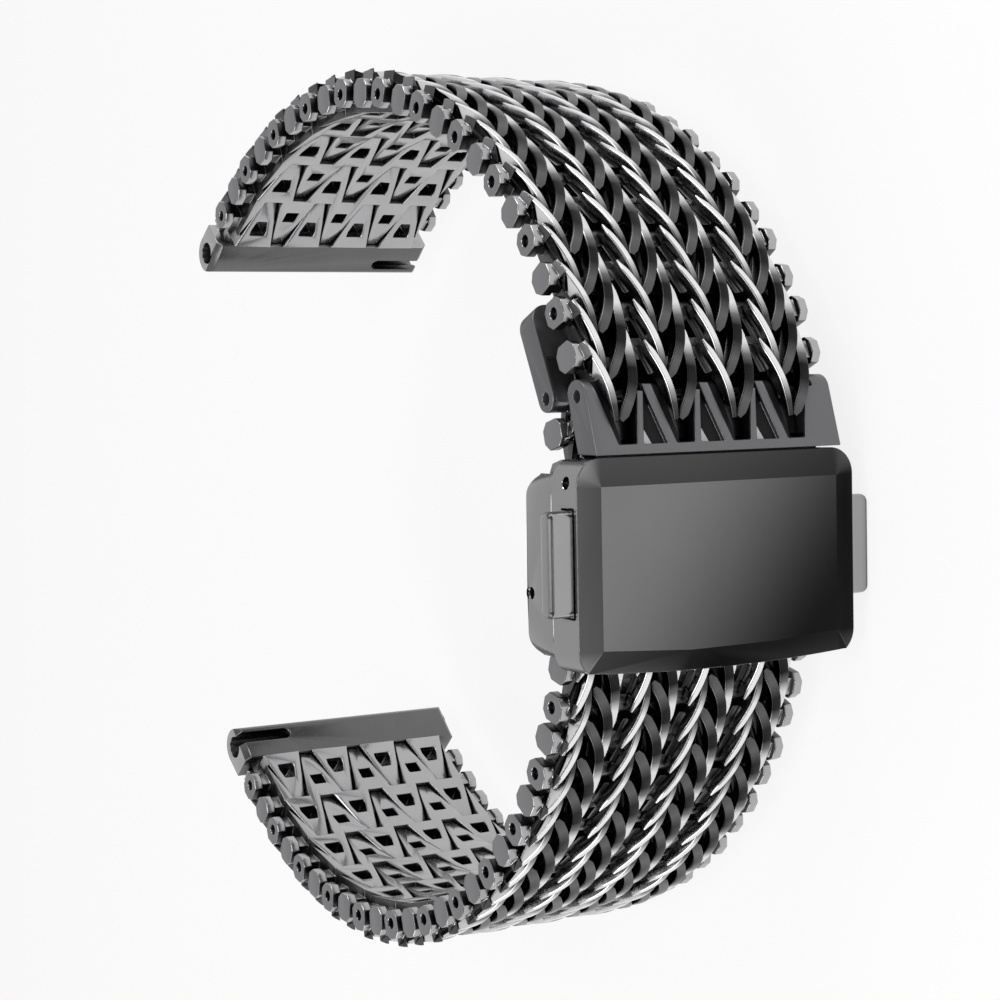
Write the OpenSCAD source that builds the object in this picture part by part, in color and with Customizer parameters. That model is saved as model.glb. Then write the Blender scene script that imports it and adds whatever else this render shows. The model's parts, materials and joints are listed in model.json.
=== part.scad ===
// Watch band of hinged links with a herringbone face, and a double button magnetic clasp.
// The band lies on its side: X runs along the clasp, Y goes in towards the wrist, Z is the band's width.
// The origin is the middle of the clasp cover's outer face.

/* [Strap] */
// Width over the pin stubs and the lug ends, the gap between the watch's lugs
strap_w = 22; // [21.8:0.1:23]
// Distance between hinge pins on the short strap above the clasp
upper_pitch = 6.45; // [6.3:0.01:6.6]
// Distance between hinge pins on the long strap below the clasp
lower_pitch = 5.67; // [5.6:0.01:5.8]
// Bend from each link of the short strap to the next, in degrees
upper_bend = 10; // [9:0.1:11]
// Bend from each link of the long strap to the next, in degrees
lower_bend = 10.09; // [9.6:0.01:10.4]
// Spacing of the herringbone columns across the strap
column_pitch = 5; // [4.95:0.01:5.05]

/* [Link body] */
// Depth of the wrist side face below the pin axis
plate_depth = 1.4; // [1.3:0.05:1.5]
// Thickness of the wrist side plate
plate_t = 0.8; // [0.6:0.05:0.9]
// Height of the core above the pin axis
core_top = 0.8; // [0.7:0.05:0.85]
// Radius of the hinge knuckles
knuckle_r = 0.85; // [0.75:0.05:0.9]
// Distance of a finger's base behind its hinge
finger_back = 2.4; // [2.3:0.05:2.5]
// Reach of a finger beyond its hinge
finger_reach = 3.25; // [3:0.05:3.3]
// Width of a finger at its base
finger_base_w = 3.6; // [3.5:0.05:3.7]
// Width of a finger at its tip
finger_tip_w = 1.2; // [1:0.05:1.3]
// Gap at the sides of the fingers and at the tab ends
side_gap = 0.25; // [0.2:0.01:0.3]
// Gap beyond the finger tips
tip_gap = 0.5; // [0.4:0.05:0.6]
// Width of the window in each tab
tab_window_w = 1.2; // [0.8:0.1:1.4]
// Length of the window in each tab
tab_window_l = 1.3; // [1:0.1:1.4]
// Distance from the hinge to the window in each tab
tab_window_at = 1; // [0.9:0.05:1.1]
// Widest part of the window in each finger
finger_window_w = 1.5; // [1.2:0.1:1.6]
// Length of the window in each finger
finger_window_l = 1.7; // [1.4:0.1:1.8]
// Distance of the finger window's start behind the finger's hinge
finger_window_back = 1.15; // [1:0.05:1.3]
// Share of that window's length that keeps its full width
window_straight = 0.4; // [0.3:0.05:0.6]
// Share of that window's width left at its narrow end
window_narrow = 0.65; // [0.5:0.05:0.8]

/* [Herringbone arms] */
// Height of the arms' crest above the pin axis
arm_top = 2.2; // [2.1:0.05:2.25]
// Gap between a knuckle and the arms that pass over it
arm_gap = 0.1; // [0.08:0.01:0.12]
// Radius of the arch that shapes the arms' backs
arch_r = 9.2; // [8:0.1:11]
// Distance of the arch's crest from the hinge
arch_at = 2.3; // [2:0.1:2.6]
// Depth of the arms' feet in the core, and of the arms in their feet
arm_root = 0.05; // [0.02:0.01:0.1]
// Distance from the hinge to the arms' feet
feet_from = 0.9; // [0.8:0.05:1]
// Distance by which the feet stop short of the next hinge
feet_short = 1.2; // [1.1:0.05:1.4]
// Distance from the hinge to the end where a blade and its hook join
arm_to = 5.6; // [5.5:0.05:5.7]
// Width of the straight blades
blade_w = 0.6; // [0.5:0.05:0.65]
// Distance of a blade's free end from the hinge
blade_from = -0.2; // [-0.3:0.05:0]
// Place of a blade's free end across its column
blade_from_z = 5.2; // [5.1:0.05:5.3]
// Place of a blade's joined end across its column
blade_to_z = 3.6; // [3.5:0.05:3.7]
// Width of the curved hooks
hook_w = 0.7; // [0.6:0.05:0.75]
// Width of the hooks at their free end
hook_end_w = 0.5; // [0.4:0.05:0.6]
// Distance of a hook's free end from the hinge
hook_from = -1.3; // [-1.4:0.05:-1.1]
// Place of a hook's free end across its column
hook_from_z = 0.8; // [0.7:0.05:0.9]
// Distance of a hook's bend from the hinge
hook_bend_at = 1.6; // [1.4:0.05:1.8]
// Place of a hook's bend across its column
hook_bend_z = 1.3; // [1.2:0.05:1.4]
// Distance across the column from a hook's joined end to its blade
hook_join = 0.7; // [0.6:0.05:0.75]
// Length of the notch between a blade and its hook
notch_back = 0.6; // [0.4:0.05:0.8]

/* [Pins and stubs] */
// Diameter of the strap's hinge pins
pin_d = 0.8; // [0.7:0.05:0.8]
// Clearance on the diameter of each hinge pin
pin_play = 0.1; // [0.08:0.01:0.12]
// Depth of each pin's end below the stub's face
pin_sink = 0.6; // [0.4:0.1:1]
// Length of the stub caps along the pin
cap_t = 0.8; // [0.6:0.1:0.9]
// Half the length of a stub cap along the strap
cap_half = 1.05; // [0.95:0.05:1.1]
// Height of a stub cap above the pin axis
cap_up = 1.3; // [1.2:0.05:1.35]
// Depth of a stub cap below the pin axis
cap_down = 1.05; // [1:0.05:1.1]
// Chamfer on the stub caps' corners
cap_chamfer = 0.55; // [0.4:0.05:0.6]
// Half the length of the stub necks along the strap
neck_half = 0.7; // [0.65:0.05:0.75]
// Distance of the necks' underside above the knuckles' underside
neck_rise = 0.15; // [0.1:0.05:0.3]
// Depth of the necks' roots in the link's body
neck_root = 0.3; // [0.2:0.05:0.5]
// Place of the plain stub along the link, as a share of its pitch
plain_at = 0.535; // [0.52:0.005:0.55]

/* [Lug ends] */
// Diameter of the bore for the watch's spring bar
lug_bore_d = 1.9; // [1.7:0.1:2]
// Distance from the last hinge to the spring bar bore
lug_bore_back = 4.7; // [4.6:0.05:4.8]
// Height of the bore's axis above the last hinge
lug_bore_up = 0.1; // [0:0.05:0.15]
// Radius of the rounded back round the bore
lug_r = 1.7; // [1.6:0.05:1.8]
// Drop of a lug end's outer side towards its hinge
lug_slope = 0.3; // [0.2:0.05:0.4]
// Length of the slot for the spring bar's release lever
release_l = 5.2; // [4.5:0.1:6]
// Width of that slot
release_w = 1.1; // [0.9:0.05:1.3]
// Length of the bevel at each end of a lug bar
lug_bevel = 0.5; // [0.3:0.1:0.8]

/* [Clasp] */
// Length of the cover's flat face
face_l = 12; // [11.6:0.1:12.2]
// Width of the cover's flat face
face_w = 21; // [20.6:0.1:21.4]
// Depth of the bevel round the face
bevel_d = 0.35; // [0.25:0.05:0.4]
// Width of the bevel at the fork end
bevel_top_w = 2.05; // [1.9:0.05:2.2]
// Width of the bevel at the other end
bevel_bottom_w = 1.5; // [1.4:0.05:1.7]
// How far the bottom edge bows out in the middle
bottom_bow = 0.5; // [0.3:0.05:0.6]
// Radius of the face's corners
face_corner_r = 0.05; // [0.03:0.01:0.2]
// Thickness of the side walls beside the strap
side_wall = 1.16; // [1.14:0.01:1.2]
// Gap between the strap's stubs and the side walls
stub_gap = 0.2; // [0.15:0.01:0.25]
// Radius of the clasp's outer corners
corner_r = 2; // [1.6:0.1:2.2]
// Depth from the cover's face to the seam
seam_y = 3.6; // [3.4:0.05:3.7]
// Depth from the cover's face to the middle hinge inside the clasp
strap_depth = 4.25; // [4.2:0.05:4.4]
// Distance of the middle hinge from the face's centre line
middle_x = 1; // [0.9:0.05:1.1]
// Depth from the cover's face to the back of the base
back_y = 7.05; // [7:0.05:7.3]
// How far the base stops short of the cover at each end
base_inset = 0.95; // [0.8:0.05:1.1]
// Radius of the base's wrist side edges
base_edge_r = 1.6; // [1.2:0.1:1.7]
// Gap between the strap and the tunnel's roof
roof_gap = 0.15; // [0.12:0.01:0.2]
// Gap between the strap and the tunnel's floor
floor_gap = 0.1; // [0.08:0.01:0.15]
// Thickness of the liner under the roof
liner_t = 0.3; // [0.25:0.01:0.32]
// Gap between the liner and the side walls
liner_side_gap = 0.05; // [0.03:0.01:0.1]
// Distance of the liner from the cover's lower end
liner_inset = 1.2; // [1:0.1:1.5]

/* [Clasp pins] */
// Diameter of the pin that carries the fork
cover_pin_d = 0.8; // [0.7:0.05:0.85]
// Distance of that pin from the face's centre line
cover_pin_x = 6.3; // [6.2:0.05:6.4]
// Depth of that pin below the face
cover_pin_y = 1.75; // [1.7:0.05:1.8]
// Diameter of the flap's pin
flap_pin_d = 0.6; // [0.5:0.05:0.65]
// Distance of the flap's pin from the face's centre line
flap_pin_x = -1.75; // [-1.9:0.05:-1.6]
// Distance of the flap's pin from the back of the base
flap_pin_in = 0.52; // [0.5:0.01:0.55]

/* [Fork] */
// Distance of the fork's strap hinge from the face's centre line
fork_x = 12.3; // [12.2:0.05:12.5]
// Depth of the fork's strap hinge below the face
fork_y = 2.35; // [2.2:0.05:2.5]
// Slope of the fork, in degrees
fork_slope = 16.7; // [15.5:0.1:17.5]
// Slope of the first strap link at the fork, in degrees
strap_slope = 24.3; // [23:0.1:26]
// Height of the fork's outer face above its hinge
fork_top = 1.2; // [1.15:0.05:1.25]
// Depth of the fork's wrist side face below its hinge
fork_down = 1.07; // [1:0.01:1.1]
// Gap between the fork's ears and the strap's full width, in all
ear_inset = 0.2; // [0:0.05:0.4]
// Distance from the hinge to the fork's cross bar
fork_bar_at = 3.9; // [3.8:0.05:4]
// Width of the fork's legs
leg_w = 0.55; // [0.45:0.05:0.6]
// Width of the fork's slanted legs
slant_leg_w = 0.8; // [0.6:0.05:0.85]
// Place of a straight leg's outer end across its column
leg_bar_z = 2; // [1.9:0.05:2.1]
// Place of a straight leg at the hinge across its column
leg_hinge_z = 1.25; // [1.15:0.05:1.35]
// Place of a slanted leg's outer end across its column
slant_bar_z = -0.76; // [-0.9:0.02:-0.6]
// Place of a slanted leg's free end across its column
slant_end_z = 0.6; // [0.5:0.05:0.7]
// Distance by which the slanted legs reach past the hinge
slant_reach = 0.5; // [0.3:0.05:0.6]
// Distance from the hinge at which the legs get their full thickness
leg_full_from = 1; // [0.9:0.05:1.2]
// Height of the full legs' underside above the hinge
leg_low = 0.25; // [0.1:0.05:0.4]
// Inner edge of the left ear at its free end, from the middle of the width
left_ear_z = 10.5; // [10.3:0.05:10.6]
// Inner edge of the left ear at the cross bar
left_ear_bar_z = 8.84; // [8.7:0.02:9]
// Inner edge of the right ear at its free end, from the middle of the width
right_ear_z = 8.9; // [8.7:0.05:9.1]
// Inner edge of the right ear at the cross bar
right_ear_bar_z = 7.73; // [7.6:0.01:7.9]
// Gap between the fork and the cover
fork_gap = 0.15; // [0.1:0.01:0.25]
// Half the width of the fork's tongue inside the cover
tongue_half = 9.3; // [8.8:0.1:9.4]
// Radius of the tongue round the fork's pin
tongue_r = 0.7; // [0.65:0.01:0.72]
// Height of the tongue's fork end above its pin
tongue_up = 1.05; // [0.9:0.05:1.1]
// Depth of the tongue's fork end below its pin
tongue_down = 0.55; // [0.5:0.05:0.6]
// Depth of the tongue's root in the fork
tongue_root = 0.6; // [0.4:0.05:0.8]

/* [Tail plate] */
// Length of the tail plate beyond its hinge
tail_l = 7.1; // [6.5:0.1:7.5]
// Thickness of the tail plate
tail_t = 2; // [1.8:0.05:2.1]
// Direction of the tail plate, in degrees
tail_slope = 25; // [24:0.1:27]
// Radius of the tail plate's corners
tail_corner_r = 1.5; // [1:0.1:2]
// Length of the recess under the last link's arms
recess_l = 2.8; // [2.6:0.05:3]
// Reach of that recess past the link's body on each side
recess_side = 1.3; // [1.1:0.05:1.4]

/* [Buttons] */
// Length of a button along the clasp
button_l = 7.5; // [7:0.1:7.8]
// Height of a button
button_h = 1.4; // [1.2:0.05:1.5]
// Distance of a button's upper edge from the cover's face
button_y = 0.8; // [0.75:0.05:0.9]
// How far a button stands out from the side wall
button_proud = 2; // [1.6:0.1:2.2]
// Distance of the buttons' centre from the face's centre line
button_x = 0.65; // [0.5:0.05:0.8]
// Travel of a button
button_travel = 0.5; // [0.4:0.05:0.5]
// Thickness of a button's prongs inside the cover
prong_t = 0.6; // [0.5:0.05:0.65]
// Clearance round a button in the cover
button_gap = 0.12; // [0.1:0.01:0.15]
// Gap between a button's head and the side wall
head_gap = 0.06; // [0.05:0.01:0.1]
// Distance of the buttons' cross bars from the middle of the width
bar_in = 9; // [8.9:0.05:9.1]
// Gap between a button's prongs and the catch post
prong_gap = 0.25; // [0.2:0.01:0.3]
// Width of the nose that catches in the post's groove
nose_w = 1; // [0.8:0.1:1.4]
// Clearance round that nose
nose_gap = 0.05; // [0.04:0.01:0.08]
// Length of the catch post along the clasp
post_l = 2; // [1.6:0.1:2.2]
// Thickness of the catch post
post_t = 0.5; // [0.4:0.05:0.55]
// Distance of a post from the tunnel
post_inset = 0.05; // [0.03:0.01:0.08]
// Height of a post's end above the button's upper edge
post_rise = 0.2; // [0.1:0.05:0.25]
// Gap round a post in the cover
post_gap = 0.1; // [0.08:0.01:0.15]
// Thickness of a post's foot
foot_t = 0.5; // [0.4:0.05:0.8]
// Depth of the groove in a post
groove_depth = 0.2; // [0.15:0.01:0.25]
// Diameter of the button springs
spring_d = 0.6; // [0.5:0.05:0.62]
// Diameter of the springs' wire
spring_wire = 0.14; // [0.12:0.01:0.16]
// Length of the button springs
spring_l = 2.4; // [2:0.1:2.8]
// Turns of each spring
spring_turns = 6; // [4:1:7]

/* [Magnets] */
// Diameter of the clasp magnets
clasp_magnet_d = 2.4; // [2:0.1:2.5]
// Thickness of the clasp magnets
clasp_magnet_t = 0.4; // [0.3:0.01:0.42]
// Place of the clasp magnets round the loop from its middle, in degrees
clasp_magnet_turn = 9.2; // [8.5:0.1:9.4]
// Distance of the clasp magnets from the middle of the width
clasp_magnet_z = 7; // [6.5:0.1:8]
// Diameter of the tail magnets
tail_magnet_d = 3.6; // [3:0.1:3.8]
// Thickness of the tail magnets
tail_magnet_t = 0.9; // [0.7:0.1:1]
// Distance between the tail magnets across the strap
tail_magnet_pitch = 6; // [5:0.1:6.5]
// Distance of the tail magnets from the tail plate's end
tail_magnet_edge = 0.7; // [0.5:0.05:1]
// Clearance round each magnet
magnet_gap = 0.05; // [0.03:0.01:0.08]

/* [Locking flap] */
// Length of the flap from its pin to its free edge
flap_l = 7; // [6.6:0.1:7.1]
// Width of the flap
flap_w = 10; // [9:0.1:11]
// Thickness of the flap
flap_t = 0.6; // [0.5:0.05:0.62]
// Clearance round the flap
flap_gap = 0.15; // [0.12:0.01:0.2]
// Width and length of the tooth that stands in a window of the strap
tooth_w = 0.6; // [0.5:0.05:0.7]
// Height of the tooth above the tunnel's floor
tooth_rise = 0.6; // [0.4:0.05:0.8]

/* [Hidden] */
upper_links = 11;
lower_links = 15;
middle_hinge = 13;
fine = 64;
over = 0.02;
skin = 0.01;
spare = 1;
stock = 20;

half_w = strap_w / 2;
body_half = 1.5 * column_pitch + finger_base_w / 2;
arm_low = knuckle_r + arm_gap;
pin_hole_d = pin_d + pin_play;
neck_top = half_w - cap_t;
plate_top = -plate_depth + plate_t;

loop_r = lower_pitch / (2 * sin(lower_bend / 2));
loop_x = middle_x;
loop_y = strap_depth + loop_r;
chord_r = loop_r * cos(lower_bend / 2);
roof_r = chord_r + arm_top + roof_gap;
shell_r = roof_r + liner_t;
floor_r = chord_r - plate_depth - floor_gap;

tunnel_half = half_w + stub_gap;
clasp_half = tunnel_half + side_wall;
cover_low = -face_l / 2 - bevel_bottom_w;
cover_high = face_l / 2 + bevel_top_w;
base_low = cover_low + base_inset;
base_high = cover_high - base_inset;
flap_pin_y = back_y - flap_pin_in;

button_low = button_x - button_l / 2;
button_high = button_x + button_l / 2;
head_in = clasp_half + head_gap;
post_in = tunnel_half + post_inset;
bar_out = bar_in + prong_t;
spring_y = button_y + prong_t / 2;
flap_r = flap_pin_in - over;
fork_half = half_w - ear_inset / 2;
slot_low = cover_pin_x - tongue_r - 2 * fork_gap;
cover_magnet_r = shell_r + magnet_gap;
base_magnet_r = floor_r - 2 * magnet_gap;
magnet_hole_r = clasp_magnet_d / 2 + magnet_gap;

function two(i) = str(i < 9 ? "0" : "", i + 1);

// Places along the two straps

function lower_hinge(i) =
    let (a = (i - middle_hinge) * lower_bend)
    [loop_x + loop_r * sin(a), loop_y - loop_r * cos(a)];

function upper_angle(j) = strap_slope + j * upper_bend;

function upper_hinge(j) =
    j == 0 ? [fork_x, fork_y]
    : upper_hinge(j - 1) + upper_pitch * [cos(upper_angle(j - 1)), sin(upper_angle(j - 1))];

// Local axes of a strap piece: X towards the clasp, Y out from the wrist, Z across the strap
module on_lower(i, back) {
    hinge = lower_hinge(i + back);
    translate([hinge[0], hinge[1], 0])
        rotate([0, 0, (i + 0.5 - middle_hinge) * lower_bend])
            mirror([0, 1, 0])
                children();
}

module on_upper(j, back) {
    hinge = upper_hinge(j + 1 - back);
    translate([hinge[0], hinge[1], 0])
        rotate([0, 0, upper_angle(j) + 180])
            children();
}

module on_fork() {
    translate([fork_x, fork_y, 0])
        rotate([0, 0, 180 + fork_slope])
            children();
}

module on_tail() {
    hinge = lower_hinge(lower_links);
    translate([hinge[0], hinge[1], 0])
        rotate([0, 0, tail_slope])
            mirror([0, 1, 0])
                children();
}

// A flat outline in X and Z, filled from one height to another along Y
module layer(low, high) {
    rotate([90, 0, 0])
        translate([0, 0, -high])
            linear_extrude(high - low)
                children();
}

module along_z(r, half, sides = fine) {
    cylinder(r = r, h = 2 * half, center = true, $fn = sides);
}

module round_rect(x0, x1, y0, y1, r) {
    translate([x0 + r, y0]) square([x1 - x0 - 2 * r, y1 - y0]);
    translate([x0, y0 + r]) square([x1 - x0, y1 - y0 - 2 * r]);
    for (x = [x0 + r, x1 - r], y = [y0 + r, y1 - r])
        translate([x, y]) circle(r = r, $fn = 32);
}

// Outlines of a link

module each_column() {
    for (c = [-1.5:1:1.5])
        translate([0, c * column_pitch])
            children();
}

// Fingers about a hinge at the outline's origin; grow is the gap added round them
module fingers_plan(k, grow, tip) {
    each_column()
        polygon([
            [-finger_back * k - over, -finger_base_w / 2 - grow],
            [finger_reach * k, -finger_tip_w / 2 - grow],
            [finger_reach * k + tip, -finger_tip_w / 2 - grow],
            [finger_reach * k + tip, finger_tip_w / 2 + grow],
            [finger_reach * k, finger_tip_w / 2 + grow],
            [-finger_back * k - over, finger_base_w / 2 + grow]
        ]);
}

module link_plan(p, k) {
    low = -finger_back * k + side_gap;
    translate([low, -body_half])
        square([p - finger_back * k - low, 2 * body_half]);
    translate([p, 0])
        fingers_plan(k, 0, 0);
}

module finger_windows(k) {
    low = -finger_window_back * k;
    length = finger_window_l * k;
    each_column()
        polygon([
            [low, -finger_window_w / 2],
            [low + length * window_straight, -finger_window_w / 2],
            [low + length, -finger_window_w * window_narrow / 2],
            [low + length, finger_window_w * window_narrow / 2],
            [low + length * window_straight, finger_window_w / 2],
            [low, finger_window_w / 2]
        ]);
}

module tab_windows(k) {
    for (c = [-1:1:1])
        translate([tab_window_at * k, c * column_pitch - tab_window_w / 2])
            square([tab_window_l * k, tab_window_w]);
}

// One row of arms across the strap, a straight blade and a curved hook in each column
module arm_row(k) {
    hook_to_z = blade_to_z - hook_join;
    for (c = [-2:1:1])
        translate([0, c * column_pitch]) {
            polygon([
                [blade_from * k, blade_from_z - blade_w / 2],
                [arm_to * k, blade_to_z - blade_w / 2],
                [arm_to * k, blade_to_z + blade_w / 2],
                [blade_from * k, blade_from_z + blade_w / 2]
            ]);
            polygon([
                [hook_from * k, hook_from_z - hook_end_w / 2],
                [hook_bend_at * k, hook_bend_z - hook_w / 2],
                [arm_to * k, hook_to_z - hook_w / 2],
                [arm_to * k, blade_to_z],
                [(arm_to - notch_back) * k, hook_to_z + hook_w / 2],
                [hook_bend_at * k, hook_bend_z + hook_w / 2],
                [hook_from * k, hook_from_z + hook_end_w / 2]
            ]);
        }
}

module arch(at) {
    translate([at, arm_top - arch_r, 0])
        along_z(arch_r, half_w + spare, 2 * fine);
}

module arched_row(at, k) {
    intersection() {
        layer(arm_low, arm_top)
            translate([at, 0])
                arm_row(k);
        arch(at + arch_at * k);
    }
}

// Both rows of a link, with the feet that join them to the core
module link_arms(p, k) {
    arched_row(0, k);
    arched_row(p / 2, k);
    layer(core_top - arm_root, arm_low + arm_root)
        intersection() {
            translate([feet_from, -half_w])
                square([p - feet_from - feet_short * k, strap_w]);
            union() {
                arm_row(k);
                translate([p / 2, 0]) arm_row(k);
            }
        }
}

module stub_cap(at) {
    c = cap_chamfer;
    for (side = [-1, 1])
        translate([at, 0, side * (half_w - cap_t / 2)])
            linear_extrude(cap_t, center = true)
                polygon([
                    [-cap_half, c - cap_down], [c - cap_half, -cap_down],
                    [cap_half - c, -cap_down], [cap_half, c - cap_down],
                    [cap_half, cap_up - c], [cap_half - c, cap_up],
                    [c - cap_half, cap_up], [-cap_half, cap_up - c]
                ]);
}

module stub_neck(at) {
    translate([at - neck_half, neck_rise - knuckle_r, -neck_top - over])
        cube([2 * neck_half, 2 * knuckle_r - neck_rise, 2 * (neck_top + over)]);
}

module strap_pin() {
    along_z(pin_d / 2, half_w - pin_sink);
}

module link_body(p) {
    k = p / upper_pitch;
    plain = plain_at * p;
    difference() {
        union() {
            layer(-plate_depth, plate_top)
                link_plan(p, k);
            intersection() {
                layer(-knuckle_r, knuckle_r)
                    link_plan(p, k);
                union() {
                    translate([0, plate_top - over, -half_w])
                        cube([p, core_top - plate_top + over, strap_w]);
                    along_z(knuckle_r, half_w);
                    translate([p, 0, 0]) along_z(knuckle_r, half_w);
                }
            }
            difference() {
                union() {
                    stub_neck(0);
                    stub_neck(plain);
                }
                cube([4 * p, 3 * plate_depth, 2 * (body_half - neck_root)], center = true);
            }
        }
        layer(-plate_depth - spare, arm_low)
            fingers_plan(k, side_gap, tip_gap);
        layer(-plate_depth - spare, arm_low) {
            tab_windows(k);
            translate([p, 0]) finger_windows(k);
        }
        along_z(pin_hole_d / 2, half_w + spare);
        translate([p, 0, 0]) along_z(pin_hole_d / 2, half_w);
    }
    difference() {
        union() {
            stub_cap(0);
            stub_cap(plain);
        }
        along_z(pin_hole_d / 2, half_w + spare);
    }
    link_arms(p, k);
}

module link(p) {
    link_body(p);
    strap_pin();
}

// Lug ends, drawn about their strap hinge

module lug_profile() {
    intersection() {
        union() {
            translate([-lug_bore_back, lug_bore_up]) circle(r = lug_r, $fn = fine);
            polygon([
                [-lug_bore_back, lug_bore_up + lug_r],
                [-finger_back, lug_bore_up + lug_r - lug_slope],
                [-finger_back, -plate_depth],
                [-lug_bore_back, lug_bore_up - lug_r]
            ]);
        }
        translate([-lug_bore_back - lug_r - spare, -plate_depth])
            square([lug_bore_back + lug_r, 2 * plate_depth + lug_r]);
    }
}

// Slot for the release lever, open at one end of the bar
module release_slot() {
    translate([-release_w / 2, release_l - half_w - release_w / 2 - stock])
        square([release_w, stock]);
    translate([0, release_l - half_w - release_w / 2])
        circle(d = release_w, $fn = 32);
}

module lug_bevels() {
    side = lug_bevel * sqrt(2);
    for (end = [-1, 1])
        translate([-lug_bore_back, -plate_depth, end * half_w])
            rotate([45, 0, 0])
                cube([stock, side, side], center = true);
}

module lug_end(k, slot_side) {
    shift = finger_back * (1 - k);
    difference() {
        union() {
            translate([shift, 0, 0])
                linear_extrude(strap_w, center = true)
                    lug_profile();
            layer(-plate_depth, plate_top)
                fingers_plan(k, 0, 0);
            intersection() {
                layer(-knuckle_r, knuckle_r)
                    fingers_plan(k, 0, 0);
                union() {
                    translate([-finger_back, plate_top - over, -half_w])
                        cube([finger_back, core_top - plate_top + over, strap_w]);
                    along_z(knuckle_r, half_w);
                }
            }
        }
        layer(-plate_depth - spare, arm_low)
            finger_windows(k);
        along_z(pin_hole_d / 2, half_w);
        translate([shift - lug_bore_back, lug_bore_up, 0])
            along_z(lug_bore_d / 2, half_w + spare);
        translate([shift - lug_bore_back, 0, 0])
            mirror([0, 0, slot_side > 0 ? 1 : 0])
                layer(-plate_depth - spare, lug_bore_up)
                    release_slot();
        lug_bevels();
    }
    intersection() {
        arched_row(-k * upper_pitch / 2, k);
        translate([-finger_back * k, -lug_r, -half_w])
            cube([4 * finger_back, 3 * lug_r, strap_w]);
    }
    layer(core_top - arm_root, arm_low + arm_root)
        intersection() {
            translate([-finger_back * k, -half_w])
                square([finger_back * k - knuckle_r, strap_w]);
            translate([-k * upper_pitch / 2, 0]) arm_row(k);
        }
}

// Clasp

module bowed_plan(low, high, half, bow, r) {
    radius = (half * half + bow * bow) / (2 * bow);
    intersection() {
        round_rect(low - bow, high, -half, half, r);
        translate([low - bow + radius, 0]) circle(r = radius, $fn = 720);
    }
}

module cover_block() {
    hull() {
        layer(0, skin)
            bowed_plan(-face_l / 2 + bottom_bow, face_l / 2, face_w / 2, bottom_bow, face_corner_r);
        layer(bevel_d, bevel_d + skin)
            bowed_plan(cover_low + bottom_bow, cover_high, clasp_half, bottom_bow, corner_r);
    }
    layer(bevel_d, seam_y)
        bowed_plan(cover_low + bottom_bow, cover_high, clasp_half, bottom_bow, corner_r);
}

module about_loop(r, half, sides = 180) {
    translate([loop_x, loop_y, 0])
        cylinder(r = r, h = 2 * half, center = true, $fn = sides);
}

// What is drawn for the left side, at +Z, on both sides
module both_sides() {
    children();
    mirror([0, 0, 1])
        children();
}

module button_pocket() {
    wide = button_l + 2 * button_gap;
    thick = prong_t + 2 * button_gap;
    translate([button_low - button_gap, button_y - button_gap, 0]) {
        translate([0, 0, clasp_half - button_travel])
            cube([wide, button_h + 2 * button_gap, button_proud]);
        translate([0, 0, bar_in - button_travel - button_gap])
            cube([wide, thick, clasp_half - bar_in + button_proud]);
        translate([(button_l - spring_d) / 2, 0, bar_in - spring_l])
            cube([spring_d + 2 * button_gap, thick, spring_l]);
    }
    translate([button_x - post_l / 2 - post_gap, button_y - post_rise - post_gap, tunnel_half - over])
        cube([post_l + 2 * post_gap, seam_y, post_inset + post_t + post_gap + over]);
}

// A disc square to the loop's radius, from one radius to another
module magnet_disc(r, low, high) {
    translate([loop_x, loop_y, clasp_magnet_z])
        rotate([90, 0, -clasp_magnet_turn])
            translate([0, 0, low])
                cylinder(r = r, h = high - low, $fn = fine);
}

module clasp_cover() {
    color([0.22, 0.22, 0.24])
        difference() {
            cover_block();
            about_loop(shell_r, tunnel_half);
            fork_slot();
            both_sides() {
                button_pocket();
                magnet_disc(magnet_hole_r, shell_r - spare, cover_magnet_r + clasp_magnet_t + magnet_gap);
            }
            translate([cover_pin_x, cover_pin_y, 0])
                along_z((cover_pin_d + pin_play) / 2, clasp_half + spare);
        }
}

module fork_slot() {
    half = tongue_half + fork_gap;
    translate([slot_low, cover_pin_y - tongue_up - fork_gap, -half])
        cube([cover_high, seam_y, 2 * half]);
}

module cover_liner() {
    color([0.3, 0.3, 0.32])
        intersection() {
            difference() {
                about_loop(shell_r, tunnel_half - liner_side_gap);
                about_loop(roof_r, tunnel_half + spare);
            }
            translate([cover_low + liner_inset, 0, -tunnel_half])
                cube([slot_low - fork_gap - cover_low - liner_inset, seam_y, 2 * tunnel_half]);
        }
}

module cover_magnets() {
    color([0.75, 0.75, 0.77])
        both_sides()
            magnet_disc(clasp_magnet_d / 2, cover_magnet_r, cover_magnet_r + clasp_magnet_t);
}

module cover_pin() {
    color([0.6, 0.6, 0.62])
        translate([cover_pin_x, cover_pin_y, 0])
            along_z(cover_pin_d / 2, clasp_half - pin_sink);
}

module base_block() {
    intersection() {
        linear_extrude(2 * clasp_half, center = true)
            round_rect(base_low, base_high, seam_y - 4 * base_edge_r, back_y, base_edge_r);
        layer(seam_y, back_y + spare)
            round_rect(base_low, base_high, -clasp_half, clasp_half, corner_r);
    }
}

// A post that stands in the cover's side, with its foot on the base
module catch_post() {
    translate([button_x - post_l / 2, button_y - post_rise, post_in])
        cube([post_l, seam_y - button_y + post_rise + over, post_t]);
    translate([button_x - post_l / 2, seam_y, post_in])
        cube([post_l, foot_t, clasp_half - post_in]);
}

module post_groove() {
    translate([button_x - post_l / 2 - spare, button_y, post_in - spare])
        cube([post_l + 2 * spare, prong_t + button_gap, spare + groove_depth]);
}

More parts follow.
